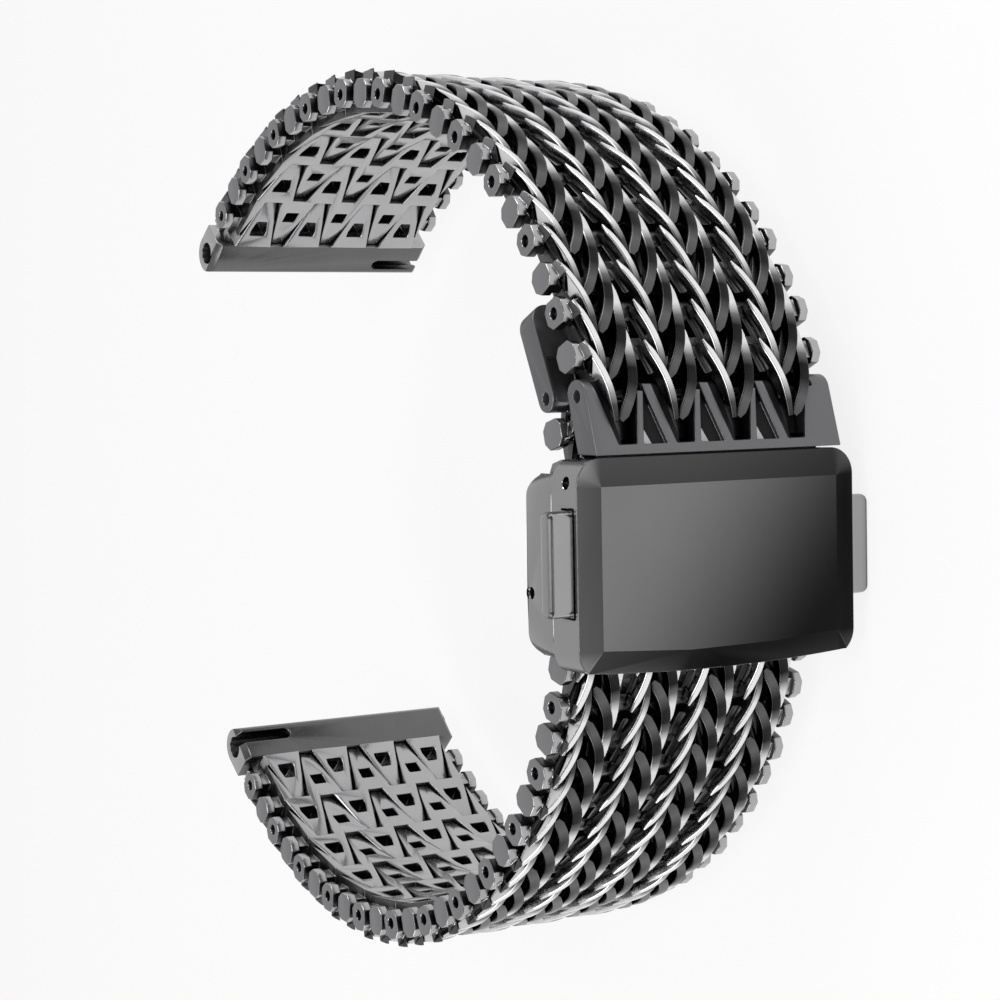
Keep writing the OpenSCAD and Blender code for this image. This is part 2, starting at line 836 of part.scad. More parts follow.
module clasp_base() {
    color([0.24, 0.24, 0.26])
        difference() {
            union() {
                difference() {
                    base_block();
                    difference() {
                        translate([base_low - spare, seam_y - spare, -tunnel_half])
                            cube([base_high - base_low + 2 * spare, back_y, 2 * tunnel_half]);
                        about_loop(floor_r, tunnel_half + spare);
                    }
                }
                both_sides()
                    catch_post();
            }
            both_sides() {
                post_groove();
                magnet_disc(magnet_hole_r, base_magnet_r - clasp_magnet_t - magnet_gap, floor_r + spare);
            }
            flap_window();
            translate([flap_pin_x, flap_pin_y, 0])
                along_z((flap_pin_d + pin_play) / 2, clasp_half + spare);
        }
}

module base_magnets() {
    color([0.75, 0.75, 0.77])
        both_sides()
            magnet_disc(clasp_magnet_d / 2, base_magnet_r - clasp_magnet_t, base_magnet_r);
}

module flap_window() {
    translate([flap_pin_x - flap_r - flap_gap, seam_y, -flap_w / 2 - flap_gap])
        cube([flap_l + flap_r + 2 * flap_gap, back_y, flap_w + 2 * flap_gap]);
}

module flap_pin() {
    color([0.6, 0.6, 0.62])
        translate([flap_pin_x, flap_pin_y, 0])
            along_z(flap_pin_d / 2, clasp_half - pin_sink);
}

// The flap's tooth stands in a window of the strap link above it
module locking_flap() {
    tooth_at = middle_x + (tab_window_at + tab_window_l / 2) * lower_pitch / upper_pitch;
    tooth_y = loop_y - floor_r - tooth_rise;
    color([0.3, 0.3, 0.32])
        difference() {
            union() {
                translate([flap_pin_x, flap_pin_y, 0])
                    along_z(flap_r, flap_w / 2);
                translate([flap_pin_x, back_y - flap_t, -flap_w / 2])
                    cube([flap_l, flap_t, flap_w]);
                translate([tooth_at - tooth_w / 2, tooth_y, -tooth_w / 2])
                    cube([tooth_w, back_y - tooth_y - over, tooth_w]);
            }
            translate([flap_pin_x, flap_pin_y, 0])
                along_z((flap_pin_d + pin_play) / 2, flap_w);
        }
}

// Fork and its pin

module fork_legs() {
    bar = fork_bar_at + over;
    for (c = [-1:1:1])
        translate([0, c * column_pitch]) {
            polygon([
                [bar, leg_bar_z - leg_w / 2], [bar, leg_bar_z + leg_w / 2],
                [0, leg_hinge_z + leg_w / 2], [0, leg_hinge_z - leg_w / 2]
            ]);
            polygon([
                [bar, slant_bar_z - slant_leg_w / 2], [bar, slant_bar_z + slant_leg_w / 2],
                [-slant_reach, slant_end_z + slant_leg_w / 2], [-slant_reach, slant_end_z - slant_leg_w / 2]
            ]);
        }
}

// Outer outline of the ears, cut back for the outermost arms
module ears_plan() {
    low = -knuckle_r - spare;
    high = fork_bar_at;
    polygon([[low, left_ear_z], [high, left_ear_bar_z], [high, fork_half], [low, fork_half]]);
    polygon([[low, -right_ear_z], [high, -right_ear_bar_z], [high, -fork_half], [low, -fork_half]]);
}

module fork_body() {
    difference() {
        union() {
            intersection() {
                union() {
                    layer(-fork_down, core_top)
                        translate([-finger_back + side_gap, -fork_half])
                            square([stock, 2 * fork_half]);
                    layer(core_top - over, fork_top)
                        ears_plan();
                    layer(-fork_down, fork_top)
                        translate([fork_bar_at, -fork_half])
                            square([stock, 2 * fork_half]);
                }
                fork_round();
            }
            layer(leg_low, fork_top)
                intersection() {
                    fork_legs();
                    translate([leg_full_from, -half_w]) square([stock, strap_w]);
                }
            layer(arm_low, fork_top)
                fork_legs();
        }
        layer(-fork_down - spare, arm_low - over)
            fingers_plan(1, side_gap, tip_gap);
        along_z(pin_hole_d / 2, half_w + spare);
    }
}

module fork_link() {
    color([0.25, 0.25, 0.27]) {
        difference() {
            on_fork()
                fork_body();
            translate([-stock, -stock, -stock])
                cube([cover_high + fork_gap + stock, 2 * stock, 2 * stock]);
        }
        difference() {
            linear_extrude(2 * tongue_half, center = true)
                tongue_profile();
            translate([cover_pin_x, cover_pin_y, 0])
                along_z((cover_pin_d + pin_play) / 2, half_w);
        }
    }
}

// Knuckles between the strap's fingers stay inside the hinge's running radius
module fork_round() {
    along_z(knuckle_r, body_half);
    both_sides()
        translate([0, 0, body_half - over])
            cylinder(r = fork_top, h = fork_half - body_half + over, $fn = fine);
    translate([0, -stock, -half_w])
        cube([stock, 2 * stock, strap_w]);
}

module tongue_profile() {
    end = cover_high + fork_gap + tongue_root;
    translate([cover_pin_x, cover_pin_y]) circle(r = tongue_r, $fn = fine);
    polygon([
        [cover_pin_x, cover_pin_y - tongue_r], [end, cover_pin_y - tongue_up],
        [end, cover_pin_y + tongue_down], [cover_pin_x, cover_pin_y + tongue_r]
    ]);
}

module fork_pin() {
    color([0.6, 0.6, 0.62])
        on_fork()
            along_z(pin_d / 2, fork_half - pin_sink);
}

// The left button, at +Z
module button() {
    prong_l = (button_l - post_l) / 2 - prong_gap;
    translate([button_low, button_y, head_in])
        cube([button_l, button_h, button_proud - head_gap]);
    for (x = [button_low, button_high - prong_l])
        translate([x, button_y, bar_in])
            cube([prong_l, prong_t, head_in - bar_in + over]);
    translate([button_low, button_y, bar_in])
        cube([button_l, prong_t, bar_out - bar_in]);
    translate([button_x - nose_w / 2, button_y + nose_gap, bar_out - over])
        cube([nose_w, prong_t - 2 * nose_gap, post_in - nose_gap - bar_out + over]);
}

module button_left() {
    color([0.28, 0.28, 0.3])
        button();
}

module button_right() {
    color([0.28, 0.28, 0.3])
        mirror([0, 0, 1])
            button();
}

// A coil spring swept as one tube
module coil(length, d, wire, turns) {
    sides = 6;
    steps = 12;
    rings = turns * steps;
    mean = (d - wire) / 2;
    function centre(i) = let (a = 360 * i / steps)
        [mean * cos(a), mean * sin(a), wire / 2 + (length - wire) * i / rings];
    points = [
        for (i = [0:rings], s = [0:sides - 1])
            let (a = 360 * i / steps, b = 360 * s / sides, c = centre(i))
            [
                c[0] + wire / 2 * cos(b) * cos(a),
                c[1] + wire / 2 * cos(b) * sin(a),
                c[2] + wire / 2 * sin(b)
            ]
    ];
    walls = [
        for (i = [0:rings - 1], s = [0:sides - 1])
            let (t = (s + 1) % sides)
            each [
                [i * sides + s, (i + 1) * sides + s, (i + 1) * sides + t],
                [i * sides + s, (i + 1) * sides + t, i * sides + t]
            ]
    ];
    caps = [
        [for (s = [0:sides - 1]) s],
        [for (s = [sides - 1:-1:0]) rings * sides + s]
    ];
    polyhedron(points, concat(walls, caps), convexity = 10);
}

module button_spring_left() {
    color([0.7, 0.7, 0.72])
        translate([button_x, spring_y, bar_in - spring_l])
            coil(spring_l, spring_d, spring_wire, spring_turns);
}

module button_spring_right() {
    mirror([0, 0, 1])
        button_spring_left();
}

// Tail plate

module tail_plate() {
    half_t = tail_t / 2;
    color([0.2, 0.2, 0.22])
        on_tail()
            difference() {
                intersection() {
                    union() {
                        along_z(half_t, half_w);
                        translate([0, -half_t, -half_w])
                            cube([tail_l, tail_t, strap_w]);
                    }
                    layer(-tail_t, tail_t)
                        round_rect(-stock, tail_l, -half_w, half_w, tail_corner_r);
                }
                layer(-tail_t, tail_t)
                    fingers_plan(lower_pitch / upper_pitch, side_gap, tip_gap);
                translate([recess_l - stock, core_top, -body_half - recess_side])
                    cube([stock, tail_t, 2 * (body_half + recess_side)]);
                difference() {
                    translate([-tail_t, -tail_t, -body_half])
                        cube([tail_t, 2 * tail_t, 2 * body_half]);
                    along_z(knuckle_r, half_w);
                }
                along_z(pin_hole_d / 2, half_w + spare);
                tail_discs(tail_magnet_d / 2 + magnet_gap, tail_magnet_t + magnet_gap);
            }
}

// Discs in the tail plate's wrist side
module tail_discs(r, depth) {
    for (c = [-1:1:1])
        translate([tail_l - tail_magnet_d / 2 - tail_magnet_edge, -tail_t / 2 - over, c * tail_magnet_pitch])
            rotate([-90, 0, 0])
                cylinder(r = r, h = depth + over, $fn = fine);
}

module tail_magnets() {
    color([0.75, 0.75, 0.77])
        on_tail()
            tail_discs(tail_magnet_d / 2, tail_magnet_t);
}

module tail_pin() {
    color([0.6, 0.6, 0.62])
        on_tail()
            strap_pin();
}

// Strap pieces in place

module upper_link(j) {
    color([0.32, 0.32, 0.34])
        on_upper(j, 0)
            link(upper_pitch);
}

module lower_link(i) {
    color([0.32, 0.32, 0.34])
        on_lower(i, 0)
            link(lower_pitch);
}

module upper_lug_end() {
    color([0.34, 0.34, 0.36])
        on_upper(upper_links, 1)
            lug_end(1, -1);
}

module lower_lug_end() {
    color([0.34, 0.34, 0.36])
        on_lower(-1, 1)
            lug_end(lower_pitch / upper_pitch, 1);
}

clasp_base();
base_magnets();
flap_pin();
locking_flap();
clasp_cover();
cover_liner();
cover_magnets();
cover_pin();
button_left();
button_right();
button_spring_left();
button_spring_right();
fork_link();
fork_pin();
for (j = [0:upper_links - 1])
    upper_link(j);
upper_lug_end();
for (i = [0:lower_links - 1])
    lower_link(i);
lower_lug_end();
tail_plate();
tail_pin();
tail_magnets();
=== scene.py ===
"""The looks of the watch band: bevelled links with herringbone arms, lug ends, fork, clasp and tail plate."""

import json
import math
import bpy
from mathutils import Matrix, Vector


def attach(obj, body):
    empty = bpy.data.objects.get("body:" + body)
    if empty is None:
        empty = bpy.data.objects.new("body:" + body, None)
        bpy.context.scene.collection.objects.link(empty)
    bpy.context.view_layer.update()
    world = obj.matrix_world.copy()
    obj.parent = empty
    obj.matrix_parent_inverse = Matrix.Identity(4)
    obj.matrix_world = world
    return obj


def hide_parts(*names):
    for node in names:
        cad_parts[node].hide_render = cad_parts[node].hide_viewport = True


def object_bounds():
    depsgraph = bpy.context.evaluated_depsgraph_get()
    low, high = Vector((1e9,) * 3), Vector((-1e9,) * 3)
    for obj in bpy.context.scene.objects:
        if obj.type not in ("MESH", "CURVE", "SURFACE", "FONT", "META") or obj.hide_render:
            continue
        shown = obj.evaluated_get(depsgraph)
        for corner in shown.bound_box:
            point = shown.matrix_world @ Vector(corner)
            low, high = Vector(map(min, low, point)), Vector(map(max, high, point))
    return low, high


bl_info = {
    "name": "Herringbone Watch Band",
    "version": (1, 0, 0),
    "blender": (4, 5, 0),
    "location": "View3D > Sidebar > Watch Band",
    "description": "Dresses a hinged herringbone watch band and its magnetic clasp",
    "category": "Object",
}

import bmesh
import bpy
from bpy.props import FloatProperty, FloatVectorProperty, IntProperty, PointerProperty
from mathutils import Matrix, Vector

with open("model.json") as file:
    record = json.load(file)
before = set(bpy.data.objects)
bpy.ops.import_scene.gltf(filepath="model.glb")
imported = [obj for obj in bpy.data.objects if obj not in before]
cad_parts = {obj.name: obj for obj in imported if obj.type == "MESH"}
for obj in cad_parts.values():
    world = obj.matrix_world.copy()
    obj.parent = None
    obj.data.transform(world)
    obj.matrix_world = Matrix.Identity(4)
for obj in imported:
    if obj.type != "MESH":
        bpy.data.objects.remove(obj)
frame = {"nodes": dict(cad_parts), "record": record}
CAD_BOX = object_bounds()

MM = 0.001

# Links and fork, in mm and degrees, each in its own frame
UPPER_LINKS = 11
LOWER_LINKS = 15
MIDDLE_HINGE = 13
FINGER_BACK = 2.4
ARM_FLOOR = 0.87
STUB_WALL = 10.16
STUB_EDGE = 9.3
CAP_FACE = 10.2
FORK_SLOPE = 16.7
FORK_FLOOR = 0.8
FORK_COLUMNS = (-5, 0, 5)
WINDOW_END = 3.85
WINDOW_SIDE = 9
# Painted glints: small light quads just above the floors of the fork's windows, their outline in mm and
# height above the floor
GLINT_OUTLINE = ((3.9, 1.72), (3.9, 0.8), (2.75, 1.3), (2.75, 1.6))
GLINT_HEIGHT = 0.02

# Arms: the columns they stand in, their runs along the link and drifts across it, in mm
COLUMNS = (-10.4, -5.25, -0.1, 5.05)
BLADE_RUN = (-0.3, 6.0)
BLADE_DRIFT = (5.15, 1.3, 0.3)
BLADE_TAPER = (0.25, 5, 0.35, 0.75)
HOOK_RUN = (-1.9, 7.5)
HOOK_DRIFT = (1.45, 1.95)
HOOK_TAPER = (0.7, 3, 0.5, 0.95)
TIP_ARCH = 2.4
HINGE_REACH = 0.7
HINGE_STEP = 0.12
HINGE_RISE = 0.19
THINNEST = 0.02
EDGE_TURNS = (0, math.pi / 6, math.pi / 3, math.pi / 2)

# Painted highlight and shade along an arm, as (place from 0 to 1, share of its colour)
HOOK_PAINTED_LIGHT = ((0, 1), (0.24, 1), (0.38, 0.2), (0.5, 0.02), (0.66, 0.03), (0.84, 0.16), (1, 0.12))
BLADE_PAINTED_LIGHT = ((0, 1), (0.52, 1), (0.68, 0.4), (0.82, 0.08), (1, 0.05))

# Clasp, in mm
FACE_DEPTH = 2.2
COVER_EDGE = 0.07
FORK_EDGE = 0.08
BASE_EDGE = 0.2
FLAP_EDGE = 0.06
TAIL_EDGE = 0.12
PAD_SEAT = 12.43
PAD_ROUNDING = 0.5
PAD_CORNER = 0.6
# Levels of the pads' rounding whose front and back faces take a painted dark reflection
PAD_PAINTED_DARK = (2, 3)

# Mesh cleaning: welding distance in mm, angle between faces that count as one, thickness of a cut in metres
WELD = 0.002
FLAT_ANGLE = 0.8
CUT = 1e-7

# Lamps: name, place, aim and size in mm, brightness
LAMPS = (
    ("lamp_above", (20, -150, 243), (10, 25, 0), (190, 160), 3.8),
    ("lamp_end", (330, -60, 110), (10, 25, 0), (130, 230), 4.3),
    ("lamp_low", (-270, -40, 170), (0, 25, 0), (160, 210), 3.4),
    ("lamp_front", (-30, -320, 95), (0, 0, 0), (120, 60), 4),
)


class StrapSizes(bpy.types.PropertyGroup):
    """Sizes of the strap, in millimetres and degrees."""

    upper_pitch: FloatProperty(
        name="Upper pitch", description="Hinge spacing of the short strap, in mm", default=6.45)
    lower_pitch: FloatProperty(
        name="Lower pitch", description="Hinge spacing of the long strap, in mm", default=5.67)
    upper_bend: FloatProperty(
        name="Upper bend", description="Turn from link to link, in degrees", default=10.0)
    lower_bend: FloatProperty(
        name="Lower bend", description="Turn from link to link, in degrees", default=10.09)
    strap_slope: FloatProperty(
        name="Strap slope", description="Slope of the first short link, in degrees", default=24.3)
    fork_x: FloatProperty(
        name="Fork hinge X", description="Place of the fork's strap hinge along the clasp, in mm",
        default=12.3)
    fork_y: FloatProperty(
        name="Fork hinge Y", description="Depth of the fork's strap hinge, in mm", default=2.35)
    loop_x: FloatProperty(
        name="Loop centre X", description="Centre of the long strap's loop along the clasp, in mm",
        default=1.0)
    middle_y: FloatProperty(
        name="Middle hinge depth", description="Depth of the hinge in the clasp's middle, in mm",
        default=4.25)
    edge: FloatProperty(
        name="Edge bevel", description="Width of the links' polished edges, in mm",
        default=0.09, min=0.01, max=0.2)


class ArmSizes(bpy.types.PropertyGroup):
    """Sizes of the herringbone arms, in millimetres."""

    root: FloatProperty(
        name="Root height", description="Height of the arms' underside above the hinge pins", default=0.8)
    row: FloatProperty(
        name="Row spacing", description="Distance between a link's two rows of arms", default=3.225)
    arch: FloatProperty(name="Arch radius", description="Radius of the arms' arched backs", default=8.6)
    blade_top: FloatProperty(
        name="Blade crest", description="Crest height of the straight blades", default=1.9)
    blade_w: FloatProperty(name="Blade width", description="Width of the straight blades", default=0.6)
    hook_top: FloatProperty(name="Hook crest", description="Crest height of the curved hooks", default=1.75)
    hook_w: FloatProperty(name="Hook width", description="Width of the curved hooks", default=0.82)
    crest: FloatProperty(
        name="Crest place", description="Distance of the crest from the hinge", default=2.3)
    edge: FloatProperty(name="Edge bevel", description="Rounding along the arms' top edges", default=0.12)
    steps: IntProperty(name="Steps", description="Sections along each arm", default=18, min=6, max=40)


class Finish(bpy.types.PropertyGroup):
    """Colours and gloss of the metals."""

    strap: FloatVectorProperty(
        name="Links", description="Plating of the links", subtype="COLOR", size=3,
        default=(0.3, 0.3, 0.305))
    # The blades' and hooks' colours are full only near the arms' tips, as painted highlight; the ramps along
    # the arms darken them further on as painted shade.
    blade: FloatVectorProperty(
        name="Blades", description="Bright polish of the blades", subtype="COLOR", size=3,
        default=(0.82, 0.82, 0.83))
    hook: FloatVectorProperty(
        name="Hooks", description="Satin plating of the hooks", subtype="COLOR", size=3,
        default=(0.75, 0.75, 0.76))
    clasp: FloatVectorProperty(
        name="Clasp", description="Plating of the fork and flap", subtype="COLOR", size=3,
        default=(0.17, 0.17, 0.174))
    # Painted light: a lighter copy of the clasp's metal for the sides of cover and base and for the buttons.
    side: FloatVectorProperty(
        name="Clasp sides", description="Lighter plating of the clasp's sides", subtype="COLOR", size=3,
        default=(0.33, 0.33, 0.335))
    # Painted light: a lighter copy of the links' metal for their inner faces, the stubs' outer faces, the lug
    # ends' fingers and end faces, and the glints in the fork's windows.
    inner: FloatVectorProperty(
        name="Inner faces", description="Polish of the links' inner faces", subtype="COLOR", size=3,
        default=(0.43, 0.43, 0.436))
    # Painted shade: a dark copy of the links' metal for the walls and floors between their faces; on the
    # buttons' rounded edges it is a painted dark reflection.
    crevice: FloatVectorProperty(
        name="Crevices", description="Black plating left in the links' crevices", subtype="COLOR", size=3,
        default=(0.11, 0.11, 0.112))
    lug: FloatVectorProperty(
        name="Lug ends", description="Plating of the lug ends", subtype="COLOR", size=3,
        default=(0.14, 0.14, 0.143))
    # Painted light and shade: the lit end of the cover face's gradient.
    face: FloatVectorProperty(
        name="Cover face", description="Light end of the cover's tone", subtype="COLOR", size=3,
        default=(0.2, 0.2, 0.202))
    # Painted light and shade: the lit end of the bevels' gradient.
    bevel: FloatVectorProperty(
        name="Cover bevels", description="Light end of the bevels' tone", subtype="COLOR", size=3,
        default=(0.17, 0.17, 0.172))
    liner: FloatVectorProperty(
        name="Liner", description="Satin liner in the clasp", subtype="COLOR", size=3,
        default=(0.3, 0.3, 0.31))
    pin: FloatVectorProperty(
        name="Pins", description="Dark ground pins", subtype="COLOR", size=3, default=(0.01, 0.01, 0.01))
    spring: FloatVectorProperty(
        name="Springs", description="Drawn wire", subtype="COLOR", size=3, default=(0.6, 0.6, 0.62))
    magnet: FloatVectorProperty(
        name="Magnets", description="Nickel plated magnets", subtype="COLOR", size=3,
        default=(0.7, 0.7, 0.72))
    # Painted shade: the dark end of the cover's gradient.
    painted_dark_end: FloatProperty(
        name="Dark end", description="Share of its colour that the cover keeps at its dark corner",
        default=0.04,
        min=0, max=1)


class StageSizes(bpy.types.PropertyGroup):
    """Camera, floor and lamps."""

    camera_at: FloatVectorProperty(
        name="Camera", description="Place of the camera, in mm", subtype="XYZ", size=3,
        default=(14.58, -133.93, 100.26))
    camera_right: FloatVectorProperty(
        name="Camera right", description="The camera's right hand direction", size=3,
        default=(-0.0196, -0.5208, -0.8535))
    camera_down: FloatVectorProperty(
        name="Camera down", description="The camera's downward direction", size=3,
        default=(-0.9981, -0.0392, 0.0468))
    lens: FloatProperty(name="Lens", description="Focal length on a 36 mm sensor, in mm", default=83.5)
    room: FloatProperty(
        name="Room", description="Brightness of the room before the band", subtype="FACTOR",
        default=0.12, min=0, max=1)
    backdrop: FloatProperty(
        name="Backdrop", description="Brightness of the room behind the band", subtype="FACTOR",
        default=0.75, min=0, max=1)
    clean: FloatProperty(
        name="Clean", description="Share of plain white in the floor's paper", subtype="FACTOR",
        default=0.82, min=0, max=1)
    floor: FloatVectorProperty(
        name="Floor", description="Colour of the floor", subtype="COLOR", size=3, default=(0.9, 0.9, 0.9))


# Places along the straps


def lower_hinge(sizes, i):
    """The i-th hinge of the long strap, in mm, counted from its lug end."""
    radius = sizes.lower_pitch / (2 * math.sin(math.radians(sizes.lower_bend / 2)))
    a = math.radians((i - MIDDLE_HINGE) * sizes.lower_bend)
    return Vector((sizes.loop_x + radius * math.sin(a), sizes.middle_y + radius - radius * math.cos(a), 0))


def upper_hinge(sizes, j):
    """The j-th hinge of the short strap, in mm, counted from the fork."""
    place = Vector((sizes.fork_x, sizes.fork_y, 0))
    for n in range(j):
        a = math.radians(sizes.strap_slope + n * sizes.upper_bend)
        place += sizes.upper_pitch * Vector((math.cos(a), math.sin(a), 0))
    return place


def turned(place, degrees):
    """A frame at a place in mm, turned about Z."""
    return Matrix.Translation(place * MM) @ Matrix.Rotation(math.radians(degrees), 4, "Z")


def upper_frame(sizes, j, back=0):
    """Frame of a short strap link: X towards the clasp, Y outwards."""
    return turned(upper_hinge(sizes, j + 1 - back), sizes.strap_slope + j * sizes.upper_bend + 180)


def lower_frame(sizes, i, back=0):
    """Frame of a long strap link: X towards the clasp, Y inwards."""
    return turned(lower_hinge(sizes, i + back), (i + 0.5 - MIDDLE_HINGE) * sizes.lower_bend)


# Metals


def toned(material, value):
    """Scales a metal's colour by a value that changes over the piece."""
    links = material.node_tree.links
    base = material.node_tree.nodes["Principled BSDF"].inputs["Base Color"]
    plain = base.links[0].from_socket
    shade = material.node_tree.nodes.new("ShaderNodeVectorMath")
    shade.operation = "SCALE"
    links.new(plain, shade.inputs[0])
    links.new(value, shade.inputs["Scale"])
    links.new(shade.outputs["Vector"], base)
    return material


def with_recess_shade(material, depth):
    """Paints shade into a metal's recesses and crevices: ambient occlusion darkens its colour where other
    surfaces lie near.
    """
    nodes = material.node_tree.nodes
    links = material.node_tree.links
    hollow = nodes.new("ShaderNodeAmbientOcclusion")
    hollow.samples = 4
    hollow.inputs["Distance"].default_value = depth * MM
    shade_in_recesses = nodes.new("ShaderNodeMapRange")
    shade_in_recesses.inputs["From Min"].default_value = 0.2
    shade_in_recesses.inputs["From Max"].default_value = 0.75
    shade_in_recesses.inputs["To Min"].default_value = 0.14
    links.new(hollow.outputs["AO"], shade_in_recesses.inputs["Value"])
    return toned(material, shade_in_recesses.outputs["Result"])


def metal(name, color, roughness, grain=0.05, coat=0.0, tone=0.12, recess_shade_depth=1.6):
    """A plated metal with cloudy tone, uneven polish, a fine grain and painted shade darkening its recesses
    and crevices.
    """
    found = bpy.data.materials.get(name)
    if found:
        return found
    material = bpy.data.materials.new(name)
    material.use_nodes = True
    nodes = material.node_tree.nodes
    links = material.node_tree.links
    shader = nodes["Principled BSDF"]
    shader.inputs["Metallic"].default_value = 1.0
    shader.inputs["Coat Weight"].default_value = coat
    shader.inputs["Coat Roughness"].default_value = 0.08
    place = nodes.new("ShaderNodeTexCoord")
    clouds = nodes.new("ShaderNodeTexNoise")
    clouds.inputs["Scale"].default_value = 180.0
    clouds.inputs["Detail"].default_value = 3.0
    shades = nodes.new("ShaderNodeMix")
    shades.data_type = "RGBA"
    shades.inputs["A"].default_value = (*[c * (1 - tone) for c in color], 1)
    shades.inputs["B"].default_value = (*[min(1, c * (1 + tone)) for c in color], 1)
    fine = nodes.new("ShaderNodeTexNoise")
    fine.inputs["Scale"].default_value = 2600.0
    fine.inputs["Detail"].default_value = 4.0
    gloss = nodes.new("ShaderNodeMapRange")
    gloss.inputs["To Min"].default_value = roughness * 0.85
    gloss.inputs["To Max"].default_value = roughness * 1.2
    bump = nodes.new("ShaderNodeBump")
    bump.inputs["Strength"].default_value = grain
    bump.inputs["Distance"].default_value = 0.02 * MM
    links.new(place.outputs["Object"], clouds.inputs["Vector"])
    links.new(place.outputs["Object"], fine.inputs["Vector"])
    links.new(clouds.outputs["Fac"], shades.inputs["Factor"])
    links.new(shades.outputs["Result"], shader.inputs["Base Color"])
    links.new(fine.outputs["Fac"], gloss.inputs["Value"])
    links.new(gloss.outputs["Result"], shader.inputs["Roughness"])
    links.new(fine.outputs["Fac"], bump.inputs["Height"])
    links.new(bump.outputs["Normal"], shader.inputs["Normal"])
    return with_recess_shade(material, recess_shade_depth) if recess_shade_depth else material


def painted_shade_metal(name, color, roughness, painted_dark_end):
    """Plated metal with painted light and shade: its colour falls from full at one corner of the cover to
    near black at the other.
    """
    found = bpy.data.materials.get(name)
    if found:
        return found
    material = metal(name, color, roughness, 0.04, tone=0.05, recess_shade_depth=0)
    nodes = material.node_tree.nodes
    links = material.node_tree.links
    place = nodes.new("ShaderNodeTexCoord")
    across = nodes.new("ShaderNodeVectorMath")
    across.operation = "DOT_PRODUCT"
    across.inputs[1].default_value = (0.75, 0, 1)
    painted_fall = nodes.new("ShaderNodeMapRange")
    painted_fall.interpolation_type = "SMOOTHSTEP"
    painted_fall.inputs["From Min"].default_value = -13 * MM
    painted_fall.inputs["From Max"].default_value = 11 * MM
    painted_fall.inputs["To Min"].default_value = painted_dark_end
    painted_fall.inputs["To Max"].default_value = 1.0
    links.new(place.outputs["Object"], across.inputs[0])
    links.new(across.outputs["Value"], painted_fall.inputs["Value"])
    return toned(material, painted_fall.outputs["Result"])


def arm_metal(name, color, roughness, painted_light):
    """Plated metal with painted light along an arm: full colour near the tip as painted highlight, darkened
    further along as painted shade.
    """
    found = bpy.data.materials.get(name)
    if found:
        return found
    material = metal(name, color, roughness, 0.04, tone=0.06)
    nodes = material.node_tree.nodes
    along = nodes.new("ShaderNodeAttribute")
    along.attribute_name = "along"
    ramp = nodes.new("ShaderNodeValToRGB")
    for n, (place, tone) in enumerate(painted_light):
        stop = ramp.color_ramp.elements[n] if n < 2 else ramp.color_ramp.elements.new(place)
        stop.position = place
        stop.color = (tone, tone, tone, 1)
    material.node_tree.links.new(along.outputs["Fac"], ramp.inputs["Fac"])
    return toned(material, ramp.outputs["Color"])


def strap_steel(finish):
    return metal("strap_steel", finish.strap, 0.18, 0.06)


def painted_light_steel(finish):
    return metal("painted_light_steel", finish.inner, 0.25, 0.06)


def painted_dark_steel(finish):
    return metal("painted_dark_steel", finish.crevice, 0.3, 0.06)


def lug_steel(finish):
    return metal("lug_steel", finish.lug, 0.26, 0.06)


def blade_steel(finish):
    return arm_metal("blade_steel", finish.blade, 0.16, BLADE_PAINTED_LIGHT)


def hook_steel(finish):
    return arm_metal("hook_steel", finish.hook, 0.26, HOOK_PAINTED_LIGHT)


def clasp_steel(finish):
    return metal("clasp_steel", finish.clasp, 0.26, 0.06, tone=0.06)


def side_painted_light_steel(finish):
    return metal("side_painted_light_steel", finish.side, 0.2, 0.05, tone=0.06)


# Painted light and shade across the cover's face, from its lit corner to its dark one.
def cover_face_steel(finish):
    return painted_shade_metal("cover_face_steel", finish.face, 0.34, finish.painted_dark_end)


def cover_bevel_steel(finish):
    """Polished bevels with painted light and shade by the way each faces: lightest along the cover's left
    edge and darkest along its lower and right edges, with painted glints where they turn round the corners.
    """
    found = bpy.data.materials.get("cover_bevel_steel")
    if found:
        return found
    material = painted_shade_metal("cover_bevel_steel", finish.bevel, 0.16, 0.3)
    nodes = material.node_tree.nodes
    links = material.node_tree.links
    place = nodes.new("ShaderNodeTexCoord")
    facing = nodes.new("ShaderNodeVectorMath")
    facing.operation = "DOT_PRODUCT"
    facing.inputs[1].default_value = (0.5, 0, 1)
    painted_fall = nodes.new("ShaderNodeMapRange")
    painted_fall.inputs["From Min"].default_value = -0.15
    painted_fall.inputs["From Max"].default_value = 0.5
    painted_fall.inputs["To Min"].default_value = 0.06
    parts = nodes.new("ShaderNodeSeparateXYZ")
    corner = nodes.new("ShaderNodeMath")
    corner.operation = "MULTIPLY"
    size = nodes.new("ShaderNodeMath")
    size.operation = "ABSOLUTE"
    painted_glint = nodes.new("ShaderNodeMath")
    painted_glint.operation = "MULTIPLY_ADD"
    painted_glint.inputs[1].default_value = 55
    links.new(place.outputs["Normal"], facing.inputs[0])
    links.new(facing.outputs["Value"], painted_fall.inputs["Value"])
    links.new(place.outputs["Normal"], parts.inputs["Vector"])
    links.new(parts.outputs["X"], corner.inputs[0])
    links.new(parts.outputs["Z"], corner.inputs[1])
    links.new(corner.outputs["Value"], size.inputs[0])
    links.new(size.outputs["Value"], painted_glint.inputs[0])
    links.new(painted_fall.outputs["Result"], painted_glint.inputs[2])
    return toned(material, painted_glint.outputs["Value"])


def liner_steel(finish):
    return metal("liner_steel", finish.liner, 0.35, 0.1)


def pin_steel(finish):
    return metal("pin_steel", finish.pin, 0.4, 0.05)


def painted_window_shade(finish):
    """Painted shade: matt black on the floors and walls of the fork's windows."""
    material = metal("painted_window_shade", finish.pin, 0.6, 0.05)
    shader = material.node_tree.nodes["Principled BSDF"]
    shader.inputs["Metallic"].default_value = 0.0
    shader.inputs["Specular IOR Level"].default_value = 0.15
    return material


